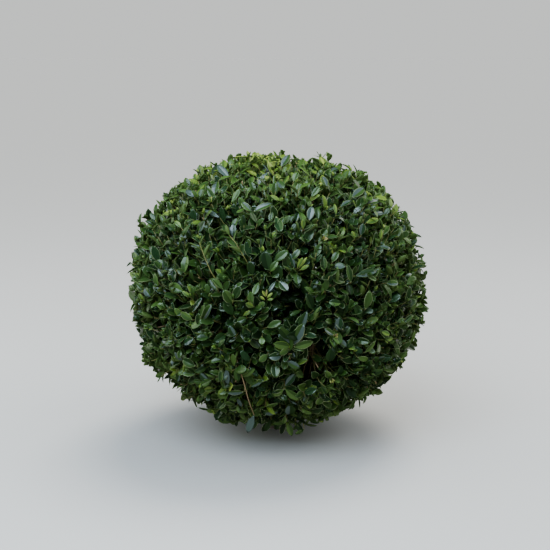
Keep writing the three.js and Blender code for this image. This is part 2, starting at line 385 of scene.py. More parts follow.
# Twigs. The first ones end at the solids' twig tips, and each forks off its bough's tip.
twig = {
    "count": 112, "tipShare": 0.93, "wander": 9 * mm, "lowest": -0.97, "forks": 4, "forkShare": 0.56,
    "forkRadius": 3.4 * mm, "rootRadius": 2.4 * mm, "tipRadius": 0.9 * mm, "points": 12, "sides": 6,
    "forkLead": 0.35, "lead": 0.25, "bend": 0.45, "upturn": 0.15, "forkCrook": 2.5 * mm, "crook": 4 * mm,
    "crookScale": 45,
}


def spiralDirection(i, count, lowest):
    height = 1 - ((i + 0.5) / count) * (1 - lowest)
    ring = math.sqrt(1 - height * height)
    return Vector((ring * math.cos(i * goldenAngle), ring * math.sin(i * goldenAngle), height))


def twigTips():
    tips = {name: [] for name in sectors}
    for i in range(twig["count"]):
        tip = inBall(spiralDirection(i, twig["count"], twig["lowest"]), twig["tipShare"])
        stray = Vector((next(stream) - 0.5, next(stream) - 0.5, next(stream) - 0.5))
        tip += stray * twig["wander"]
        tips[sectorOf(tip)].append(tip)
    return tips


def farApart(points, count):  # picks points that lie far from each other
    chosen = [max(points, key=lambda p: p.z)]
    while len(chosen) < min(count, len(points)):
        chosen.append(max(points, key=lambda p: min((p - c).length for c in chosen)))
    return chosen


def crooked(path, amount):  # nudges the inner points, as real wood grows
    for i in range(1, len(path) - 1):
        path[i] += noise.noise_vector(path[i] * twig["crookScale"]) * amount
    return path


def growTwigs(name, tips):
    boughTip = boughPaths[name][-1]
    boughWay = (boughTip - boughPaths[name][-2]).normalized()
    groups = [[] for _ in range(twig["forks"])]
    heads = farApart(tips, twig["forks"])
    for tip in tips:
        groups[min(range(len(heads)), key=lambda k: (tip - heads[k]).length)].append(tip)
    limbs = []
    for group in groups:
        if not group:
            continue
        centre = sum(group, Vector()) / len(group)
        fork = inBall((centre - middle).normalized(), twig["forkShare"])
        length = (fork - boughTip).length
        lead = boughTip + boughWay * length * twig["forkLead"]
        knee = fork - (centre - fork).normalized() * length * twig["forkLead"]
        path = alongBezier([boughTip, lead, knee, fork], twig["points"])
        limbs.append((crooked(path, twig["forkCrook"]), bough["tipRadius"], twig["forkRadius"]))
        forkWay = (path[-1] - path[-2]).normalized()
        for tip in group:
            length = (tip - fork).length
            lead = fork + forkWay * length * twig["lead"]
            bend = tip - (outwardAt(tip) + up * twig["upturn"]).normalized() * length * twig["bend"]
            path = alongBezier([fork, lead, bend, tip], twig["points"])
            limbs.append((crooked(path, twig["crook"]), twig["rootRadius"], twig["tipRadius"]))
    return limbs


mainTwigs = {name: growTwigs(name, tips) for name, tips in twigTips().items()}
print("main twigs:", sum(len(limbs) for limbs in mainTwigs.values()))


# Shoots. They end evenly over the ball and grow from the nearest main twig, many of them climbing along it.
shoot = {
    "count": 2480, "lowest": -0.985, "share": 0.935, "unevenness": 0.055, "back": 58 * mm, "points": 6,
    "rootRadius": 1.0 * mm, "tipRadius": 0.5 * mm, "sides": 4, "bare": 40 * mm,
    "stray": 0.10, "strayBy": 0.035, "climb": (0.0, 1.5), "sway": 0.7, "jitter": 5 * mm, "depth": 0.015,
    "backs": (0.8, 1.15), "clumpScale": 5.5, "fineScale": 13, "fineClumps": 0.5, "thinned": 0.9,
    "thinnedFrom": 0.3, "inward": 0.75, "straight": 0.5, "leanAt": 0.3, "leanBack": 0.15, "straightEnd": 0.42,
}
# Where the crown opens and stems and leaves painted darker, a painted shade, show in front: azimuth,
# elevation, spread in mm
pockets = [
    (-85, 8, 20), (-86, -1, 16), (-79, 17, 12), (-101, -13, 16), (-76, -13, 18), (-78, -25, 18),
    (-97, -23, 13), (-104, -32, 15), (-90, -40, 13), (-92, -55, 18), (-118, 37, 12), (-89, 43, 11),
    (-69, 48, 9), (-50, 29, 12), (-59, 10, 14), (-44, 20, 11), (-111, 1, 14), (-126, 25, 11),
    (-49, 4, 12), (-131, -35, 11), (-114, 42, 8), (-63, -6, 11), (-66, -20, 12), (-117, -16, 11),
]
# On the other sides they fall where a spiral puts them
# the darker value is the painted shade on leaves in a pocket, in tones
pocket = {
    "sink": 0.17, "loss": 0.6, "others": 150, "lowest": -0.8, "spread": (8 * mm, 15 * mm), "deep": 0.55,
    "darker": 1.2, "othersBehind": -0.5,
}


def pocketPlaces():
    centres = [onBall(*place[:2], shoot["share"]) for place in pockets]
    spreads = [spread * mm for _, _, spread in pockets]
    for i in range(pocket["others"]):
        way = spiralDirection(i, pocket["others"], pocket["lowest"])
        isKept = next(stream) < pocket["deep"]
        spread = between(*pocket["spread"])
        if isKept and way.y > pocket["othersBehind"]:
            centres.append(inBall(way, shoot["share"]))
            spreads.append(spread)
    return asArray(centres), np.array(spreads)


pocketCentres, pocketSpreads = pocketPlaces()


def openness(point):
    return math.exp(-(squaredGaps(pocketCentres, point) / pocketSpreads**2).min())


twigBases = {
    name: [p for path, _, tipRadius in limbs if tipRadius == twig["tipRadius"] for p in path[2:]]
    for name, limbs in mainTwigs.items()
}


def shootTo(tip, heading, back):  # from the nearest main twig, with its end pointing along the heading
    name = sectorOf(tip)
    target = tip - (outwardAt(tip) * shoot["inward"] + heading * shoot["straight"]) * back
    root = min(twigBases[name], key=lambda p: (p - target).length_squared)
    length = (tip - root).length
    lean = root.lerp(tip, shoot["leanAt"]) + (target - root) * shoot["leanBack"]
    path = alongBezier([root, lean, tip - heading * length * shoot["straightEnd"], tip], shoot["points"])
    return {"sector": name, "path": path, "length": length, "firstAt": leaf["firstAt"], "lastAt": 1.0}


def growShoots():
    shoots = []
    for i in range(shoot["count"]):
        way = spiralDirection(i, shoot["count"], shoot["lowest"])
        clump = noise.noise(way * shoot["clumpScale"])
        clump += shoot["fineClumps"] * noise.noise(way * shoot["fineScale"])
        isStray = next(stream) < shoot["stray"] and way.z > pocket["lowest"]
        share = shoot["share"] + shoot["unevenness"] * clump + (shoot["strayBy"] if isStray else 0)
        pit = openness(inBall(way, shoot["share"]))
        tip = inBall(way, share + swing(shoot["depth"]) - pocket["sink"] * pit)
        tip += Vector((swing(1), swing(1), swing(1))) * shoot["jitter"]
        nearTrunk = math.hypot(tip.x, tip.y) < shoot["bare"] and tip.z < middle.z
        thinned = shoot["thinned"] * (-clump - shoot["thinnedFrom"])
        isOpen = next(stream) < max(pocket["loss"] * pit, thinned)
        climb = between(*shoot["climb"])
        sway = swing(1) * shoot["sway"]
        back = shoot["back"] * between(*shoot["backs"])
        if nearTrunk or isOpen:
            continue
        outward = outwardAt(tip)
        rise = up - outward * up.dot(outward)
        heading = (outward + rise * climb + outward.cross(up) * sway).normalized()
        shoots.append(shootTo(tip, heading, back))
    return shoots


# Two long pale shoots that show along the surface, upper left: points in mm, root first
longShoot = {
    "paths": (
        ((-78, -190, 268), (-92, -226, 300), (-105, -217, 326), (-116, -198, 352)),
        ((-34, -196, 300), (-42, -234, 330), (-58, -222, 352), (-74, -204, 368)),
    ),
    "crook": 3 * mm, "firstAt": 0.56, "clearPoints": 16,
}


def fromTwig(path):  # leads a path out of a main twig that lies behind its start
    behind = path[0] + (path[0] - path[1]).normalized() * shoot["back"] / 2
    bases = twigBases[sectorOf(path[0])]
    return [min(bases, key=lambda p: (p - behind).length_squared), *path]


def growLongShoots():
    longOnes = []
    for points in longShoot["paths"]:
        path = alongBezier([Vector(p) * mm for p in points], shoot["points"] - 1)
        path = fromTwig(crooked(path, longShoot["crook"]))
        length = sum((b - a).length for a, b in zip(path, path[1:]))
        longOnes.append({
            "sector": sectorOf(path[-1]), "path": path, "length": length, "firstAt": longShoot["firstAt"],
            "lastAt": 1.0,
        })
    return longOnes


# The photograph's view. It also places the leaves that stand out in it.
camera = {
    "lens": 74, "sensor": 36, "pixels": 550, "distance": 1.9, "elevation": 11,
    "target": Vector((-0.0034, 0, 0.265)),
}
sight = {"margin": 1.2, "halvings": 24}
tilt = math.radians(camera["elevation"])
ahead = Vector((0, math.cos(tilt), -math.sin(tilt)))
above = Vector((0, math.sin(tilt), math.cos(tilt)))
eyePlace = camera["target"] - ahead * camera["distance"]

# Leaves that stand out in front, spray by spray. Each leaf has the pixels of its root and of its tip in the
# photograph, its width there, and the colours of its left and right halves as seen from the root.
# The halves' colours include painted light and shade: deep and dark halves are painted shade, pale bluish
# ones a painted gleam
frontSprays = {
    "rosette": (
        ((292, 346), (304, 323), 11, "green", "paintedGleam"), ((298, 334), (307, 311), 8, "dark", "paintedGleam"),
        ((293, 347), (313, 343), 9, "green", "mid"), ((291, 347), (273, 343), 9, "mid", "green"),
        ((291, 340), (278, 326), 9, "dark", "green"), ((290, 344), (279, 335), 8, "dark", "paintedGleam"),
        ((289, 349), (279, 354), 7, "green", "mid"),
    ),
    "below the rosette": (
        ((285, 386), (295, 376), 7, "paintedGleam", "sheen"), ((285, 389), (300, 400), 9, "green", "mid"),
        ((284, 389), (272, 396), 9, "mid", "green"), ((286, 361), (300, 368), 7, "paintedGleam", "green"),
        ((268, 354), (259, 362), 7, "green", "mid"), ((282, 356), (270, 357), 9, "paintedGleam", "dark"),
        ((290, 403), (290, 417), 10, "dark", "paintedGleam"), ((289, 400), (297, 405), 2, "paintedGleam", "paintedGleam"),
        ((308, 401), (299, 399), 4, "mid", "fresh"), ((262, 337), (262, 345), 7, "mid", "mid"),
    ),
    "low right": (
        ((318, 398), (313, 388), 6, "mid", "mid"), ((321, 394), (335, 386), 8, "green", "mid"),
        ((321, 396), (318, 406), 9, "green", "mid"), ((331, 348), (330, 363), 11, "deep", "dark"),
        ((357, 357), (370, 361), 6, "mid", "mid"), ((364, 353), (377, 343), 6, "green", "mid"),
        ((375, 361), (385, 356), 6, "paintedGleam", "dark"), ((353, 371), (363, 367), 5, "green", "mid"),
    ),
    "beside the hanging twig": (
        ((227, 367), (227, 386), 6, "paintedGleam", "paintedGleam"), ((221, 370), (221, 382), 6, "green", "dark"),
        ((234, 366), (233, 353), 6, "mid", "mid"), ((236, 367), (238, 383), 7, "dark", "green"),
        ((242, 377), (254, 371), 6, "green", "mid"), ((250, 387), (263, 381), 5, "green", "paintedGleam"),
        ((244, 392), (227, 393), 6, "paintedGleam", "green"), ((242, 407), (237, 400), 4, "paintedGleam", "paintedGleam"),
        ((248, 371), (241, 365), 4, "paintedGleam", "dark"), ((265, 407), (279, 404), 5, "mid", "green"),
        ((260, 412), (276, 415), 7, "green", "paintedGleam"), ((230, 419), (221, 421), 4, "yellow", "yellow"),
    ),
    "low left": (
        ((183, 361), (174, 354), 6, "paintedGleam", "paintedGleam"), ((180, 373), (177, 382), 6, "paintedGleam", "dark"),
        ((199, 372), (207, 383), 7, "paintedGleam", "dark"), ((205, 398), (205, 389), 6, "mid", "mid"),
        ((236, 413), (230, 407), 5, "paintedGleam", "dark"), ((235, 337), (229, 327), 7, "dark", "paintedGleam"),
    ),
    "small, left of the middle": (
        ((254, 307), (245, 303), 6, "mid", "fresh"), ((247, 318), (237, 322), 8, "dark", "green"),
        ((258, 308), (265, 302), 6, "mid", "green"), ((243, 316), (250, 311), 4, "fresh", "mid"),
    ),
    "cream, lower": (
        ((266, 297), (262, 290), 3, "young", "fresh"), ((266, 297), (267, 289), 2, "dry", "young"),
        ((267, 298), (272, 293), 3, "young", "fresh"), ((267, 300), (273, 299), 3, "fresh", "mid"),
        ((265, 300), (259, 296), 3, "fresh", "young"),
    ),
    "cream, upper": (
        ((297, 268), (303, 257), 4, "fresh", "mid"), ((299, 268), (307, 257), 3, "young", "fresh"),
        ((300, 270), (309, 265), 4, "fresh", "mid"), ((295, 269), (290, 253), 5, "sheen", "paintedGleam"),
    ),
    "beside the pocket": (
        ((279, 281), (288, 292), 9, "paintedGleam", "dark"), ((276, 281), (268, 291), 4, "paintedGleam", "dark"),
        ((297, 274), (298, 285), 9, "dark", "green"), ((259, 282), (253, 296), 7, "green", "mid"),
    ),
    "above the pocket": (
        ((274, 262), (288, 250), 9, "green", "green"), ((269, 272), (264, 250), 12, "deep", "dark"),
        ((270, 272), (277, 261), 7, "green", "mid"),
    ),
    "crown": (
        ((229, 178), (218, 167), 7, "paintedGleam", "paintedGleam"), ((212, 175), (217, 165), 5, "deep", "dark"),
        ((269, 172), (257, 182), 7, "green", "paintedGleam"), ((263, 165), (271, 172), 6, "paintedGleam", "paintedGleam"),
        ((281, 167), (289, 157), 7, "paintedGleam", "green"), ((284, 190), (278, 179), 8, "paintedGleam", "green"),
        ((214, 195), (217, 181), 8, "paintedGleam", "green"), ((231, 203), (241, 189), 6, "mid", "green"),
        ((318, 220), (318, 206), 6, "dark", "green"), ((311, 197), (320, 187), 6, "green", "mid"),
        ((327, 187), (322, 176), 7, "green", "paintedGleam"), ((331, 172), (338, 167), 6, "paintedGleam", "dark"),
        ((276, 216), (281, 234), 9, "green", "sheen"), ((247, 230), (239, 219), 7, "dark", "green"),
        ((194, 197), (186, 190), 6, "paintedGleam", "paintedGleam"),
    ),
    "upper middle": (
        ((309, 221), (312, 206), 8, "paintedGleam", "paintedGleam"), ((303, 229), (303, 219), 5, "fresh", "mid"),
        ((252, 212), (241, 202), 7, "mid", "dark"), ((253, 212), (271, 201), 8, "paintedGleam", "green"),
    ),
    "upper left": (
        ((220, 218), (203, 207), 5, "paintedGleam", "paintedGleam"), ((197, 234), (206, 221), 9, "dark", "paintedGleam"),
        ((204, 247), (190, 244), 5, "paintedGleam", "sheen"), ((233, 237), (233, 223), 7, "paintedGleam", "dark"),
    ),
    "upper right": (
        ((372, 215), (385, 211), 6, "paintedGleam", "paintedGleam"), ((366, 223), (379, 219), 6, "fresh", "mid"),
        ((361, 236), (363, 223), 7, "paintedGleam", "sheen"), ((340, 207), (352, 199), 5, "paintedGleam", "sheen"),
        ((352, 198), (364, 188), 8, "paintedGleam", "green"), ((361, 206), (368, 194), 8, "dark", "green"),
        ((367, 204), (380, 199), 7, "paintedGleam", "green"), ((353, 213), (360, 208), 5, "paintedGleam", "paintedGleam"),
        ((336, 215), (335, 203), 4, "mid", "fresh"), ((355, 239), (352, 231), 5, "mid", "fresh"),
        ((380, 240), (382, 229), 4, "mid", "fresh"), ((347, 252), (353, 246), 5, "mid", "green"),
    ),
    "left": (
        ((184, 292), (168, 284), 10, "green", "mid"), ((192, 313), (200, 297), 6, "sheen", "paintedGleam"),
        ((202, 321), (211, 304), 9, "green", "paintedGleam"), ((194, 338), (182, 344), 8, "paintedGleam", "sheen"),
        ((151, 297), (143, 288), 8, "paintedGleam", "green"), ((165, 279), (157, 268), 5, "paintedGleam", "paintedGleam"),
        ((193, 320), (179, 313), 8, "green", "mid"), ((173, 343), (160, 340), 6, "paintedGleam", "dark"),
    ),
    "right": (
        ((343, 330), (337, 318), 9, "paintedGleam", "sheen"), ((355, 276), (376, 272), 8, "dark", "paintedGleam"),
        ((328, 302), (341, 303), 8, "dark", "mid"), ((381, 331), (390, 335), 5, "mid", "fresh"),
        ((333, 266), (346, 266), 8, "dark", "paintedGleam"), ((351, 283), (349, 265), 7, "green", "dark"),
        ((345, 282), (333, 278), 8, "green", "dark"), ((386, 283), (398, 284), 7, "green", "paintedGleam"),
        ((365, 310), (371, 291), 10, "green", "green"), ((362, 319), (354, 303), 8, "dark", "dark"),
        ((337, 331), (341, 319), 9, "paintedGleam", "sheen"), ((334, 335), (325, 329), 6, "paintedGleam", "green"),
        ((337, 339), (347, 347), 7, "paintedGleam", "dark"), ((379, 246), (391, 249), 5, "paintedGleam", "sheen"),
        ((403, 238), (414, 243), 6, "mid", "green"), ((405, 276), (414, 274), 4, "paintedGleam", "dark"),
    ),
}
frontSpray = {
    "rootShare": 0.955, "tipShare": 0.992, "upturn": 0.15, "gleamUpturn": 0.55, "fold": 0.4, "clear": 5 * mm,
    "clearAt": (0.3, 0.6, 0.9), "over": 0.012, "frontEnds": -50 * mm,
    "lastAt": 0.85, "slant": 0.55, "faced": 0.9,
}
# Leaves that droop before the stem's foot, in mm from stalk to tip, then their kind: the deep and dark ones
# are painted shade under the ball
footLeaves = (
    ((16, -125, 50), (24, -120, 23), "green"), ((44, -115, 33), (29, -118, 25), "green"),
    ((-10, -122, 52), (-20, -118, 30), "dark"), ((2, -124, 54), (-2, -119, 29), "dark"),
    ((30, -120, 48), (41, -114, 27), "deep"), ((-32, -126, 56), (-40, -122, 33), "dark"),
    ((12, -110, 44), (6, -104, 20), "deep"), ((-16, -108, 44), (-24, -100, 22), "deep"),
)
# Brown stems that show deep in the gap right of the rosette, by their pixels, and the clear way to them in mm
gapStems = {
    "paths": (
        ((316, 338), (311, 349), (306, 360), (303, 375)), ((314, 345), (312, 358), (311, 370), (306, 384)),
    ),
    "share": 0.79, "crook": 3 * mm, "clearTo": range(8, 44, 7),
}


def throughPixel(px, py, share):  # where a line of sight of the photograph first meets the ball
    focal = camera["lens"] / camera["sensor"] * camera["pixels"]
    centre = camera["pixels"] / 2
    ray = (ahead + Vector((1, 0, 0)) * (px - centre) / focal + above * (centre - py) / focal).normalized()
    inside = (middle - eyePlace).dot(ray)
    outside = inside - reach.x * sight["margin"]
    for _ in range(sight["halvings"]):
        half = (inside + outside) / 2
        if shareOf(eyePlace + ray * half) < share:
            inside = half
        else:
            outside = half
    return eyePlace + ray * inside


# Leaves. Each kind is one small lens-shaped mesh: a folded blade with its margin over a paler underside.
leaf = {
    "length": (23 * mm, 31 * mm), "grown": (0.82, 1.1), "widthRatio": (0.40, 0.56), "spacing": 6.4 * mm,
    "fewest": 4, "firstAt": 0.25, "paleEdged": 0.5, "sheen": 0.12, "smallerAbove": 0.09,
    "lastPart": 0.2, "smallerLast": 0.5, "splay": (74, 38), "splayBy": 12, "turnBy": 0.3,
    "fold": (0.18, 0.74), "bulge": 0.14, "curl": (-0.14, 0.32), "thickness": 0.35 * mm,
    "toLight": (0.0, 0.9), "lightOut": 0.7, "lightUp": 0.5, "lift": 0.25, "liftOut": 0.4, "liftUp": 0.6,
    "limit": (0.985, 1.015), "pastTip": 0.05, "strayLimit": 1.05, "laidDown": 0.8, "clearOfGround": 5 * mm,
    "fineFrom": 0.82, "foldShade": 1.2, "darkerInside": 1.4, "toneRise": 1.1, "toneAt": 0.6, "toneBy": 0.7,
}
# Small leaves opening at shoot tips, some of them dried, and the few old leaves inside that turn
tuft = {
    "chance": 0.5, "count": 4, "length": (6 * mm, 13 * mm), "splay": (12, 34), "paler": (0.5, 2.2),
    "dried": 0.012, "markedShare": 0.98, "markedMore": 3, "markedTone": 9,
}
turned = {"yellow": 0.001, "dry": 0.001}
# Tufts that stand out in front: azimuth and elevation on the ball
markedTufts = {
    "dry": [(-72, -25), (-74, 31), (-70, -8)],
    "young": [(-78, 36), (-109, 31), (-56, 32), (-125, 44)],
}
blade = {
    "stations": (0.0, 0.10, 0.32, 0.58, 0.84, 1.0),
    "halfWidths": (0.0, 0.28, 0.84, 1.0, 0.64, 0.0),
    "marginAt": 0.89, "rolled": 0.6,
}
plainBlade = {"stations": (0.0, 0.34, 0.76, 1.0), "halfWidths": (0.0, 0.88, 0.84, 0.0), "rolled": 0.4}
weldWithin = 1e-4  # of a blade's length


def bladeGrid(bm, shape, columns, underside):
    rows = len(shape["stations"])
    wide = len(columns) - 1
    old = set(bm.faces)
    verts = bmesh.ops.create_grid(bm, x_segments=wide, y_segments=rows - 1, size=1)["verts"]
    faces = [face for face in bm.faces if face not in old]
    for face in faces:
        centre = face.calc_center_median()
        atStalk = centre.y < 2 / (rows - 1) - 1
        isMargin = wide > 2 and (abs(centre.x) > 0.5 or atStalk)
        face.material_index = 3 if underside else 2 if isMargin else int(centre.x > 0)  # 0 and 1: the halves
    for v in verts:
        column = round((v.co.x + 1) / 2 * wide)
        row = round((v.co.y + 1) / 2 * (rows - 1))
        isRim = column in (0, wide) or row in (0, rows - 1)
        depth = -shape["rolled"] if isRim else -1.0 if underside else 0.0
        v.co = Vector((columns[column] * shape["halfWidths"][row], shape["stations"][row], depth))
    if underside:
        bmesh.ops.reverse_faces(bm, faces=faces)


def bladeArrays(shape):
    bm = bmesh.new()
    marginAt = shape.get("marginAt")
    bladeGrid(bm, shape, (-1, -marginAt, 0, marginAt, 1) if marginAt else (-1, 0, 1), False)
    bladeGrid(bm, shape, (-1, 0, 1), True)
    bmesh.ops.remove_doubles(bm, verts=bm.verts, dist=weldWithin)
    bm.verts.index_update()
    ends = [v.co.y in (0, 1) for v in bm.verts]
    rim = np.array([v.co.z == -shape["rolled"] or isEnd for v, isEnd in zip(bm.verts, ends)])
    rib = np.array([(v.co.z == 0 and v.co.x == 0) or isEnd for v, isEnd in zip(bm.verts, ends)])
    cos = np.array([v.co[:] for v in bm.verts])
    faces = [([v.index for v in face.verts], face.material_index) for face in bm.faces]
    bm.free()
    return {"cos": cos, "faces": faces, "rim": rim, "rib": rib}


blades = {"fine": bladeArrays(blade), "plain": bladeArrays(plainBlade)}
justShort = 0.9999  # of a path's end, where a stretch still follows


def pointOn(path, share):
    place = min(share, justShort) * (len(path) - 1)
    i = int(place)
    return path[i].lerp(path[i + 1], place - i), (path[i + 1] - path[i]).normalized()


def kindAt(tone):
    return max(0, min(youngest, int(tone)))


def leafAt(root, along, face, length, kind, isFine):
    face = (face - along * face.dot(along)).normalized()
    shade = round(swing(leaf["foldShade"]))  # painted shade and light on a fold: one half goes a tone darker or lighter
    other = max(0, kind + shade) if kind < youngest else kind
    return {
        "root": root, "along": along, "face": face, "side": along.cross(face), "length": length,
        "halfWidth": length * between(*leaf["widthRatio"]) / 2, "fold": between(*leaf["fold"]),
        "curl": between(*leaf["curl"]), "kind": kind, "other": other, "blade": "fine" if isFine else "plain",
        "paleEdged": next(stream) < leaf["paleEdged"],
    }


def leafOn(shootHere, share, turn, splay, length, tone):
    point, way = pointOn(shootHere["path"], share)
    outward = outwardAt(point)
    aside = up.cross(way).normalized()
    around = aside * math.cos(turn) + way.cross(aside) * math.sin(turn)
    along = way * math.cos(splay) + around * math.sin(splay)
    along = (along + (up * leaf["liftUp"] + outward * leaf["liftOut"]) * leaf["lift"]).normalized()
    pit = openness(point + along * length)
    limit = shootHere["limit"] - pocket["sink"] * pit
    if shareOf(point + along * length) > limit:  # the shears keep the ball's outline
        along = (along - outward * along.dot(outward) * leaf["laidDown"]).normalized()
    tip = point + along * length
    if shareOf(tip) > limit or tip.z < leaf["clearOfGround"]:
        return None
    if coversFront(point.lerp(tip, 0.5)) or coversFront(tip):
        return None
    light = (outward * leaf["lightOut"] + up * leaf["lightUp"]).normalized()
    face = way * math.sin(splay) - around * math.cos(splay) + light * between(*leaf["toLight"])
    depth = shareOf(point + along * length * 0.5)
    isFine = depth > leaf["fineFrom"] and length > tuft["length"][1]
    # painted shade: a leaf near the surface goes darker by how deep in a pocket it sits, one inside the ball
    # a fixed step darker
    tone -= pocket["darker"] * pit if depth > leaf["fineFrom"] else leaf["darkerInside"]
    kind = kindAt(tone)
    chance = next(stream)
    if depth < leaf["fineFrom"] and chance < turned["yellow"] + turned["dry"]:
        kind = kindOf("yellow" if chance < turned["yellow"] else "dry")
    elif chance > 1 - leaf["sheen"] * (1 - pit) and kind < kindOf("fresh"):
        kind = kindOf("sheen")
    return leafAt(point, along, face, length, kind, isFine)


def markTufts():  # the shoot that ends nearest to each marked place carries that tuft
    for kind, places in markedTufts.items():
        for azimuth, elevation in places:
            place = onBall(azimuth, elevation, tuft["markedShare"])
            nearest = min(shoots, key=lambda item: (item["path"][-1] - place).length_squared)
            nearest["tuft"] = kind


def growFrontSprays():
    for sprayLeaves in frontSprays.values():
        for rootPixel, tipPixel, width, left, right in sprayLeaves:
            root = throughPixel(*rootPixel, frontSpray["rootShare"])
            tip = throughPixel(*tipPixel, frontSpray["tipShare"])
            deep = (tip - root).dot(ahead)
            across = tip - root - ahead * deep  # its length as the photograph shows it
            slant = across.length * frontSpray["slant"]
            along = across + ahead * max(-slant, min(slant, deep))
            upturn = frontSpray["gleamUpturn" if "paintedGleam" in (left, right) else "upturn"]
            outward = outwardAt(root.lerp(tip, 0.5))
            face = outward + up * upturn - ahead * frontSpray["faced"] * max(0, outward.z)
            grown = leafAt(root, along.normalized(), face, along.length, kindOf(left), True)
            grown["other"] = kindOf(right)
            grown["fold"] = frontSpray["fold"]
            grown["paleEdged"] = grown["paleEdged"] and left not in ("deep", "dark")
            grown["halfWidth"] = across.length * width / math.dist(rootPixel, tipPixel) / 2
            frontLeaves.append((sectorOf(root), grown))
            stem = shootTo(root, outwardAt(root), shoot["back"])
            stem["lastAt"] = frontSpray["lastAt"]
            shoots.append(stem)


def coversFront(point):  # true close over a leaf or a stem that stands out in front
    if point.y > frontSpray["frontEnds"]:
        return False
    gaps = squaredGaps(frontPlaces, point)
    nearest = gaps.argmin()
    isOver = shareOf(point) > frontShares[nearest] - frontSpray["over"]
    return gaps[nearest] < frontSpray["clear"] ** 2 and isOver


def growTuft(shootHere, turn, spray):
    marked = shootHere.get("tuft")
    if not marked and next(stream) > tuft["chance"]:
        return []
    isDried = marked == "dry" or (not marked and next(stream) < tuft["dried"])
    grown = []
    for _ in range(tuft["count"] + (tuft["markedMore"] if marked else 0)):
        turn += goldenAngle
        size = between(*tuft["length"])
        splay = math.radians(between(*tuft["splay"]))
        tone = tuft["markedTone"] if marked else spray + between(*tuft["paler"])
        small = leafOn(shootHere, 1, turn, splay, size, tone)
        if small and isDried:
            small["kind"] = kindOf("dry")
        grown.append(small)
    return grown


# Patches of painted shade, where sprays are painted darker, and of painted light, where they are painted
# lighter:
# azimuth, elevation, spread in mm and how many tones darker or lighter
patches = [
    (-84, 6, 85, -0.55), (-92, 36, 42, -0.7), (-90, 14, 28, -0.6), (-52, 25, 24, -0.8),
    (-55, 7, 20, -0.8), (-70, -50, 22, -0.6), (-136, 16, 24, -0.7), (-79, 58, 18, -0.5),
    (-100, -18, 18, -0.5), (-136, -30, 38, 0.9), (-111, -31, 26, 0.8), (-34, 6, 20, 0.4),
    (-31, 41, 36, 0.8), (-121, 48, 28, 0.7), (-87, 56, 36, 0.6), (-68, 61, 28, 0.5),
    (-29, 12, 45, 0.7), (-153, 12, 50, 0.6), (-66, -4, 22, 0.4), (-150, 50, 40, 0.6), (-125, 78, 60, 0.5),
]
# crown and higher lighten the upper leaves: younger growth there, and painted light from above
tones = {
    "usual": 1.75, "crown": 1.9, "crownPart": 0.4, "higher": 0.35, "uneven": 0.9, "unevenScale": 21,
    "by": 0.4, "young": 0.07, "younger": 1.2, "patchShare": 0.93,
}
patchCentres = asArray(onBall(*patch[:2], tones["patchShare"]) for patch in patches)
patchSpreads = np.array([spread * mm for _, _, spread, _ in patches])
patchTones = np.array([tone for _, _, _, tone in patches])


def sprayTone(tip):  # brightest on top, from younger growth there and painted light from above, with patches of painted shade and painted light all over
    height = (tip.z - middle.z) / reach.z
    top = max(0, (height - (1 - tones["crownPart"])) / tones["crownPart"])
    crowned = tones["crown"] * top**2 + tones["higher"] * max(0, height)
    tone = tones["usual"] + crowned + tones["uneven"] * noise.noise(tip * tones["unevenScale"])
    tone += swing(tones["by"])
    tone += (patchTones * np.exp(-squaredGaps(patchCentres, tip) / patchSpreads**2)).sum()
    return tone + (tones["younger"] if next(stream) < tones["young"] else 0)


def growLeaves():
    leaves = {name: [] for name in sectors}
    for shootHere in shoots:
        tip = shootHere["path"][-1]
        firstAt, lastAt = shootHere["firstAt"], shootHere["lastAt"]
        spray = sprayTone(tip)
        vigour = between(*leaf["grown"]) * (1 - leaf["smallerAbove"] * (tip.z - middle.z) / reach.z)
        count = max(leaf["fewest"], int((lastAt - firstAt) * shootHere["length"] / leaf["spacing"]))
        limit = max(between(*leaf["limit"]), shareOf(tip) + leaf["pastTip"])
        shootHere["limit"] = min(leaf["strayLimit"], limit)
        turn = between(0, 2 * math.pi)
        grown = []
        for k in range(count):
            share = firstAt + (lastAt - firstAt) * k / (count - 1)
            turn += goldenAngle + swing(leaf["turnBy"])
            size = between(*leaf["length"]) * vigour
            last = max(0, share - (1 - leaf["lastPart"]))
            size *= 1 - leaf["smallerLast"] * last / leaf["lastPart"] * next(stream)
            splay = leaf["splay"][0] + (leaf["splay"][1] - leaf["splay"][0]) * share + swing(leaf["splayBy"])
            tone = spray + leaf["toneRise"] * (share - leaf["toneAt"]) + swing(leaf["toneBy"])
            grown.append(leafOn(shootHere, share, turn, math.radians(splay), size, tone))
        if lastAt == 1:
            grown += growTuft(shootHere, turn, spray)
        leaves[shootHere["sector"]] += [item for item in grown if item]
    return leaves


def meshFrom(name, points, faces, slots, materials):  # faces are arrays, one for each number of corners
    mesh = bpy.data.meshes.new(name)
    mesh.vertices.add(len(points))
    mesh.vertices.foreach_set("co", points.ravel())
    corners = np.concatenate([f.ravel() for f in faces])
    sizes = np.concatenate([np.full(len(f), f.shape[1]) for f in faces])
    mesh.loops.add(len(corners))
    mesh.loops.foreach_set("vertex_index", corners)
    mesh.polygons.add(len(sizes))
    mesh.polygons.foreach_set("loop_start", np.concatenate(([0], np.cumsum(sizes)[:-1])))
    mesh.polygons.foreach_set("material_index", np.concatenate(slots))
    mesh.update(calc_edges=True)
    mesh.validate()
    mesh.polygons.foreach_set("use_smooth", np.ones(len(mesh.polygons), dtype=bool))
    piece = addObject(name, mesh)
    addMaterial(piece, *materials)
    return piece


def column(leaves, key):
    return np.array([item[key] for item in leaves], dtype=float)


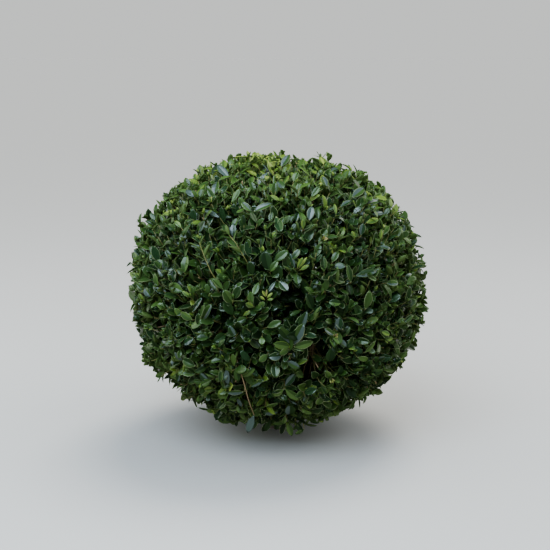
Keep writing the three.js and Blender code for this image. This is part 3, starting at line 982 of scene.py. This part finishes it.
def leafPoints(leaves, cos):  # every leaf's points at once, from the blade's own x, y and z
    x, y, z = (cos[None, :, i, None] for i in range(3))
    keys = ("halfWidth", "length", "fold", "curl")
    halfWidth, length, fold, curl = (column(leaves, key)[:, None, None] for key in keys)
    root, along, side, face = (column(leaves, key)[:, None, :] for key in ("root", "along", "side", "face"))
    lift = (fold * abs(x) - leaf["bulge"] * x**2) * halfWidth - curl * length * y**2 + z * leaf["thickness"]
    return root + side * x * halfWidth + along * y * length + face * lift


def makeLeaves(name, leaves):
    points, faces, slots, rims, ribs = [], {3: [], 4: []}, {3: [], 4: []}, [], []
    start = 0
    edgeSlot = len(leafColours)
    for bladeName, shape in blades.items():
        mine = [item for item in leaves if item["blade"] == bladeName]
        if not mine:
            continue
        size = len(shape["cos"])
        offsets = start + size * np.arange(len(mine))
        kinds = np.array([item["kind"] for item in mine])
        others = np.array([item["other"] for item in mine])
        # a margin without that pale colour goes a tone lighter than its blade: a painted glint on the rim
        lighter = np.where(kinds < youngest, kinds + 1, kinds)
        margins = np.where([item["paleEdged"] for item in mine], edgeSlot, lighter)
        partSlots = [kinds, others, margins, np.full(len(mine), edgeSlot + 1)]
        points.append(leafPoints(mine, shape["cos"]).reshape(-1, 3))
        rims.append(np.tile(shape["rim"], len(mine)))
        ribs.append(np.tile(shape["rib"], len(mine)))
        for corners, part in shape["faces"]:
            faces[len(corners)].append(offsets[:, None] + np.array(corners)[None, :])
            slots[len(corners)].append(partSlots[part])
        start += size * len(mine)
    piece = meshFrom(
        name, np.concatenate(points), [np.concatenate(faces[n]) for n in (3, 4)],
        [np.concatenate(slots[n]) for n in (3, 4)], [*leafTops, leafEdge, leafBack],
    )
    mesh = piece.data
    ends = np.empty(len(mesh.edges) * 2, dtype=np.int32)
    mesh.edges.foreach_get("vertices", ends)
    creased = [np.concatenate(marks)[ends].reshape(-1, 2).all(axis=1) for marks in (rims, ribs)]
    mesh.attributes.new("sharp_edge", "BOOLEAN", "EDGE").data.foreach_set("value", creased[0] | creased[1])
    return piece


aslant = (0.31, 0.17, 0.94)  # a way that no twig runs quite along


def tubes(paths, radii, sides):  # many tubes with as many points each: rings of corners round every path
    paths = np.array([asArray(path) for path in paths])
    tubeCount, ringCount = paths.shape[:2]
    ways = np.gradient(paths, axis=1)
    ways /= np.linalg.norm(ways, axis=2, keepdims=True)
    across = np.cross(ways, np.array(aslant))
    across /= np.linalg.norm(across, axis=2, keepdims=True)
    over = np.cross(ways, across)
    angles = np.arange(sides) * 2 * math.pi / sides
    ring = across[:, :, None] * np.cos(angles)[:, None] + over[:, :, None] * np.sin(angles)[:, None]
    points = paths[:, :, None] + ring * np.array(radii)[:, :, None, None]
    index = np.arange(tubeCount * ringCount * sides).reshape(tubeCount, ringCount, sides)
    near, far = index[:, :-1], index[:, 1:]
    walls = np.stack([near, np.roll(near, -1, axis=2), np.roll(far, -1, axis=2), far], axis=-1).reshape(-1, 4)
    caps = np.concatenate([index[:, 0, ::-1], index[:, -1]])
    return points.reshape(-1, 3), walls, caps


def resampled(path, count):
    return [pointOn(path, i / (count - 1))[0] for i in range(count)]


def makeTwigs(name, limbs, fineOnes):
    radii = [np.linspace(rootRadius, tipRadius, twig["points"]) for _, rootRadius, tipRadius in limbs]
    limbPoints, limbWalls, limbCaps = tubes([path for path, _, _ in limbs], radii, twig["sides"])
    radii = [np.linspace(shoot["rootRadius"], shoot["tipRadius"], shoot["points"])] * len(fineOnes)
    shootPoints, shootWalls, shootCaps = tubes(fineOnes, radii, shoot["sides"])
    shootWalls = shootWalls + len(limbPoints)
    shootCaps = shootCaps + len(limbPoints)
    quads = np.concatenate([limbWalls, shootWalls, shootCaps])
    quadSlots = np.repeat([0, 1], [len(limbWalls), len(shootWalls) + len(shootCaps)])
    return meshFrom(
        name, np.concatenate([limbPoints, shootPoints]), [quads, limbCaps],
        [quadSlots, np.zeros(len(limbCaps), dtype=int)], [brownTwig, greenShoot],
    )


# A bare twig hangs low in front with one leaf at its end: points in mm, the leaf from stalk to tip
hangingTwig = {
    "points": ((-60, -160, 206), (-62, -214, 178), (-50, -213, 138), (-44, -195, 106), (-36, -169, 74)),
    "leaf": ((-36, -169, 74.5), (-49, -167, 43), "paintedGleam"),
    "rootRadius": 1.2 * mm, "tipRadius": 0.6 * mm, "sector": "front", "leafRatio": 0.38, "upturn": -0.3,
    "gleamUpturn": 0.6,
}


def hangingBends():
    points = [Vector(p) * mm for p in hangingTwig["points"]]
    return [a.lerp(b, share) for a, b in zip(points, points[1:]) for share in (0, 0.5)] + [points[-1]]


def droopingLeaf(root, tip, kind):
    face = up * hangingTwig["gleamUpturn" if kind == "paintedGleam" else "upturn"] - ahead
    grown = leafAt(root, (tip - root).normalized(), face, (tip - root).length, kindOf(kind), True)
    grown["halfWidth"] = grown["length"] * hangingTwig["leafRatio"] / 2
    return grown


def gapPath(pixels):
    points = [throughPixel(*pixel, gapStems["share"]) for pixel in reversed(pixels)]
    return fromTwig(crooked(alongBezier(points, twig["points"] - 1), gapStems["crook"]))


shoots = growShoots()
longOnes = growLongShoots()
shoots += longOnes
markTufts()
frontLeaves = []
growFrontSprays()
for root, _, _ in footLeaves:
    shoots.append(shootTo(Vector(root) * mm, outwardAt(Vector(root) * mm), shoot["back"]))
hangingPath = resampled(fromTwig(hangingBends()), twig["points"])
gapPaths = [gapPath(pixels) for pixels in gapStems["paths"]]


def clearPoints():  # on what stands out in front, and on the way to the stems in the gap
    points = [
        item["root"] + item["along"] * item["length"] * share
        for _, item in frontLeaves for share in frontSpray["clearAt"]
    ]
    for longOne in longOnes:
        points += resampled(longOne["path"], longShoot["clearPoints"])
    points += hangingPath
    for path in gapPaths:
        for p in path[1:]:
            toEye = (eyePlace - p).normalized()
            points += [p + toEye * (before * mm) for before in gapStems["clearTo"]]
    return points


frontPoints = clearPoints()
frontPlaces = asArray(frontPoints)
frontShares = np.array([shareOf(point) for point in frontPoints])
print("shoots:", len(shoots), "leaves that stand out:", len(frontLeaves))
leaves = growLeaves()
for name, grown in frontLeaves:
    leaves[name].append(grown)
for root, tip, kind in (hangingTwig["leaf"], *footLeaves):
    leaves[hangingTwig["sector"]].append(droopingLeaf(Vector(root) * mm, Vector(tip) * mm, kind))
print("leaves:", sum(len(items) for items in leaves.values()))
for path in (hangingPath, *gapPaths):
    mainTwigs[sectorOf(path[0])].append((path, hangingTwig["rootRadius"], hangingTwig["tipRadius"]))
for name in sectors:
    seatPiece(makeLeaves("leaves_" + name, leaves[name]), "foliage_" + name)
    fineOnes = [item["path"] for item in shoots if item["sector"] == name]
    seatPiece(makeTwigs("twigs_" + name, mainTwigs[name], fineOnes), "foliage_" + name)
counts = {
    piece.name: sum(len(p.vertices) - 2 for p in piece.data.polygons)
    for piece in bpy.context.scene.objects if piece.type == "MESH" and not piece.hide_render
}
print("triangles:", counts, sum(counts.values()))


# Floor, light and camera
studio = {
    "below": (0.98, 0.96, 0.98), "horizon": (0.48, 0.49, 0.50), "zenith": (0.88, 0.95, 1.0),
    "skyStrength": 1.15, "look": "AgX - Medium High Contrast",
    "floor": 0.42, "floorRoughness": 0.9, "floorSize": 400, "floorAt": -0.5 * mm,
    "sun": {"from": (0.25, 0.45, 1.0), "energy": 2.25, "spread": 28, "colour": (1.0, 0.96, 0.86)},
    "front": {"size": 1.9, "at": (-0.7, -1.55, 2.0), "energy": 56, "colour": (0.70, 0.86, 1.0)},
    "right": {"size": 1.6, "at": (1.9, 0.2, 1.3), "energy": 18, "colour": (1.0, 0.98, 0.93)},
    "left": {"size": 1.6, "at": (-1.9, 0.2, 1.1), "energy": 13, "colour": (1.0, 0.98, 0.93)},
}


def floorGlow():  # the light that the far floor gives back, so that the backdrop can match it
    sun = studio["sun"]
    facing = Vector(sun["from"]).normalized().z * sun["energy"] / math.pi
    parts = zip(studio["horizon"], studio["zenith"], sun["colour"])
    return [
        studio["floor"] * (studio["skyStrength"] * (low + 2 * high) / 3 + facing * tint)
        for low, high, tint in parts  # a level floor gets a third of its sky from low down
    ]


bpy.ops.mesh.primitive_plane_add(size=studio["floorSize"], location=(0, 0, studio["floorAt"]))
floor = bpy.context.object
floor.name = "floor"
floor.visible_diffuse = False  # the sky's lower half lights the plant in its place
floor.visible_glossy = False
addMaterial(floor, plainMaterial("floor", (studio["floor"],) * 3, studio["floorRoughness"]))
fillInputs(floor.active_material.node_tree.nodes["Principled BSDF"], {"Specular IOR Level": 0})


def makeSky():  # darkest at the horizon, bright overhead and off the ground, and plain behind the plant
    world = bpy.data.worlds.new("studio")
    world.use_nodes = True
    world.cycles_visibility.glossy = False  # the leaves gleam from the lamps alone
    tree = world.node_tree
    link = tree.links.new
    direction = tree.nodes.new("ShaderNodeTexCoord")
    height = tree.nodes.new("ShaderNodeSeparateXYZ")
    link(direction.outputs["Generated"], height.inputs["Vector"])
    ramp = addRamp(tree, (0, studio["horizon"]), (1, studio["zenith"]))
    link(height.outputs["Z"], ramp.inputs["Fac"])
    isBelow = addNode(tree, "Math", {1: 0})
    isBelow.operation = "LESS_THAN"
    link(height.outputs["Z"], isBelow.inputs[0])
    sky = fillInputs(tree.nodes["Background"], {"Strength": studio["skyStrength"]})
    link(layOver(tree, ramp.outputs["Color"], studio["below"], isBelow.outputs["Value"]), sky.inputs["Color"])
    backdrop = addNode(tree, "Background", {"Color": (*floorGlow(), 1)})
    rays = tree.nodes.new("ShaderNodeLightPath")
    both = tree.nodes.new("ShaderNodeMixShader")
    link(rays.outputs["Is Camera Ray"], both.inputs["Fac"])
    link(sky.outputs["Background"], both.inputs[1])
    link(backdrop.outputs["Background"], both.inputs[2])
    link(both.outputs["Shader"], tree.nodes["World Output"].inputs["Surface"])
    return world


bpy.context.scene.world = makeSky()
bpy.context.scene.view_settings.look = studio["look"]


def lightFrom(name, settings):
    isSun = "from" in settings
    lamp = bpy.data.lights.new(name, "SUN" if isSun else "AREA")
    if isSun:
        lamp.angle = math.radians(settings["spread"])
    else:
        lamp.size = settings["size"]
    lamp.energy = settings["energy"]
    lamp.color = settings["colour"]
    holder = addObject(name, lamp)
    holder.location = settings["from"] if isSun else settings["at"]
    way = -holder.location if isSun else middle - holder.location
    holder.rotation_euler = way.to_track_quat("-Z", "Y").to_euler()
    holder.visible_glossy = not isSun  # the leaves gleam with the sky's blue, not the sun's yellow


for name in ("sun", "front", "right", "left"):
    lightFrom(name, studio[name])

lens = bpy.data.cameras.new("camera")
lens.lens = camera["lens"]
lens.sensor_width = camera["sensor"]
eye = addObject("camera", lens)
eye.location = eyePlace
eye.rotation_euler = ahead.to_track_quat("-Z", "Y").to_euler()
bpy.context.scene.camera = eye
print("floor, lights and camera ready")
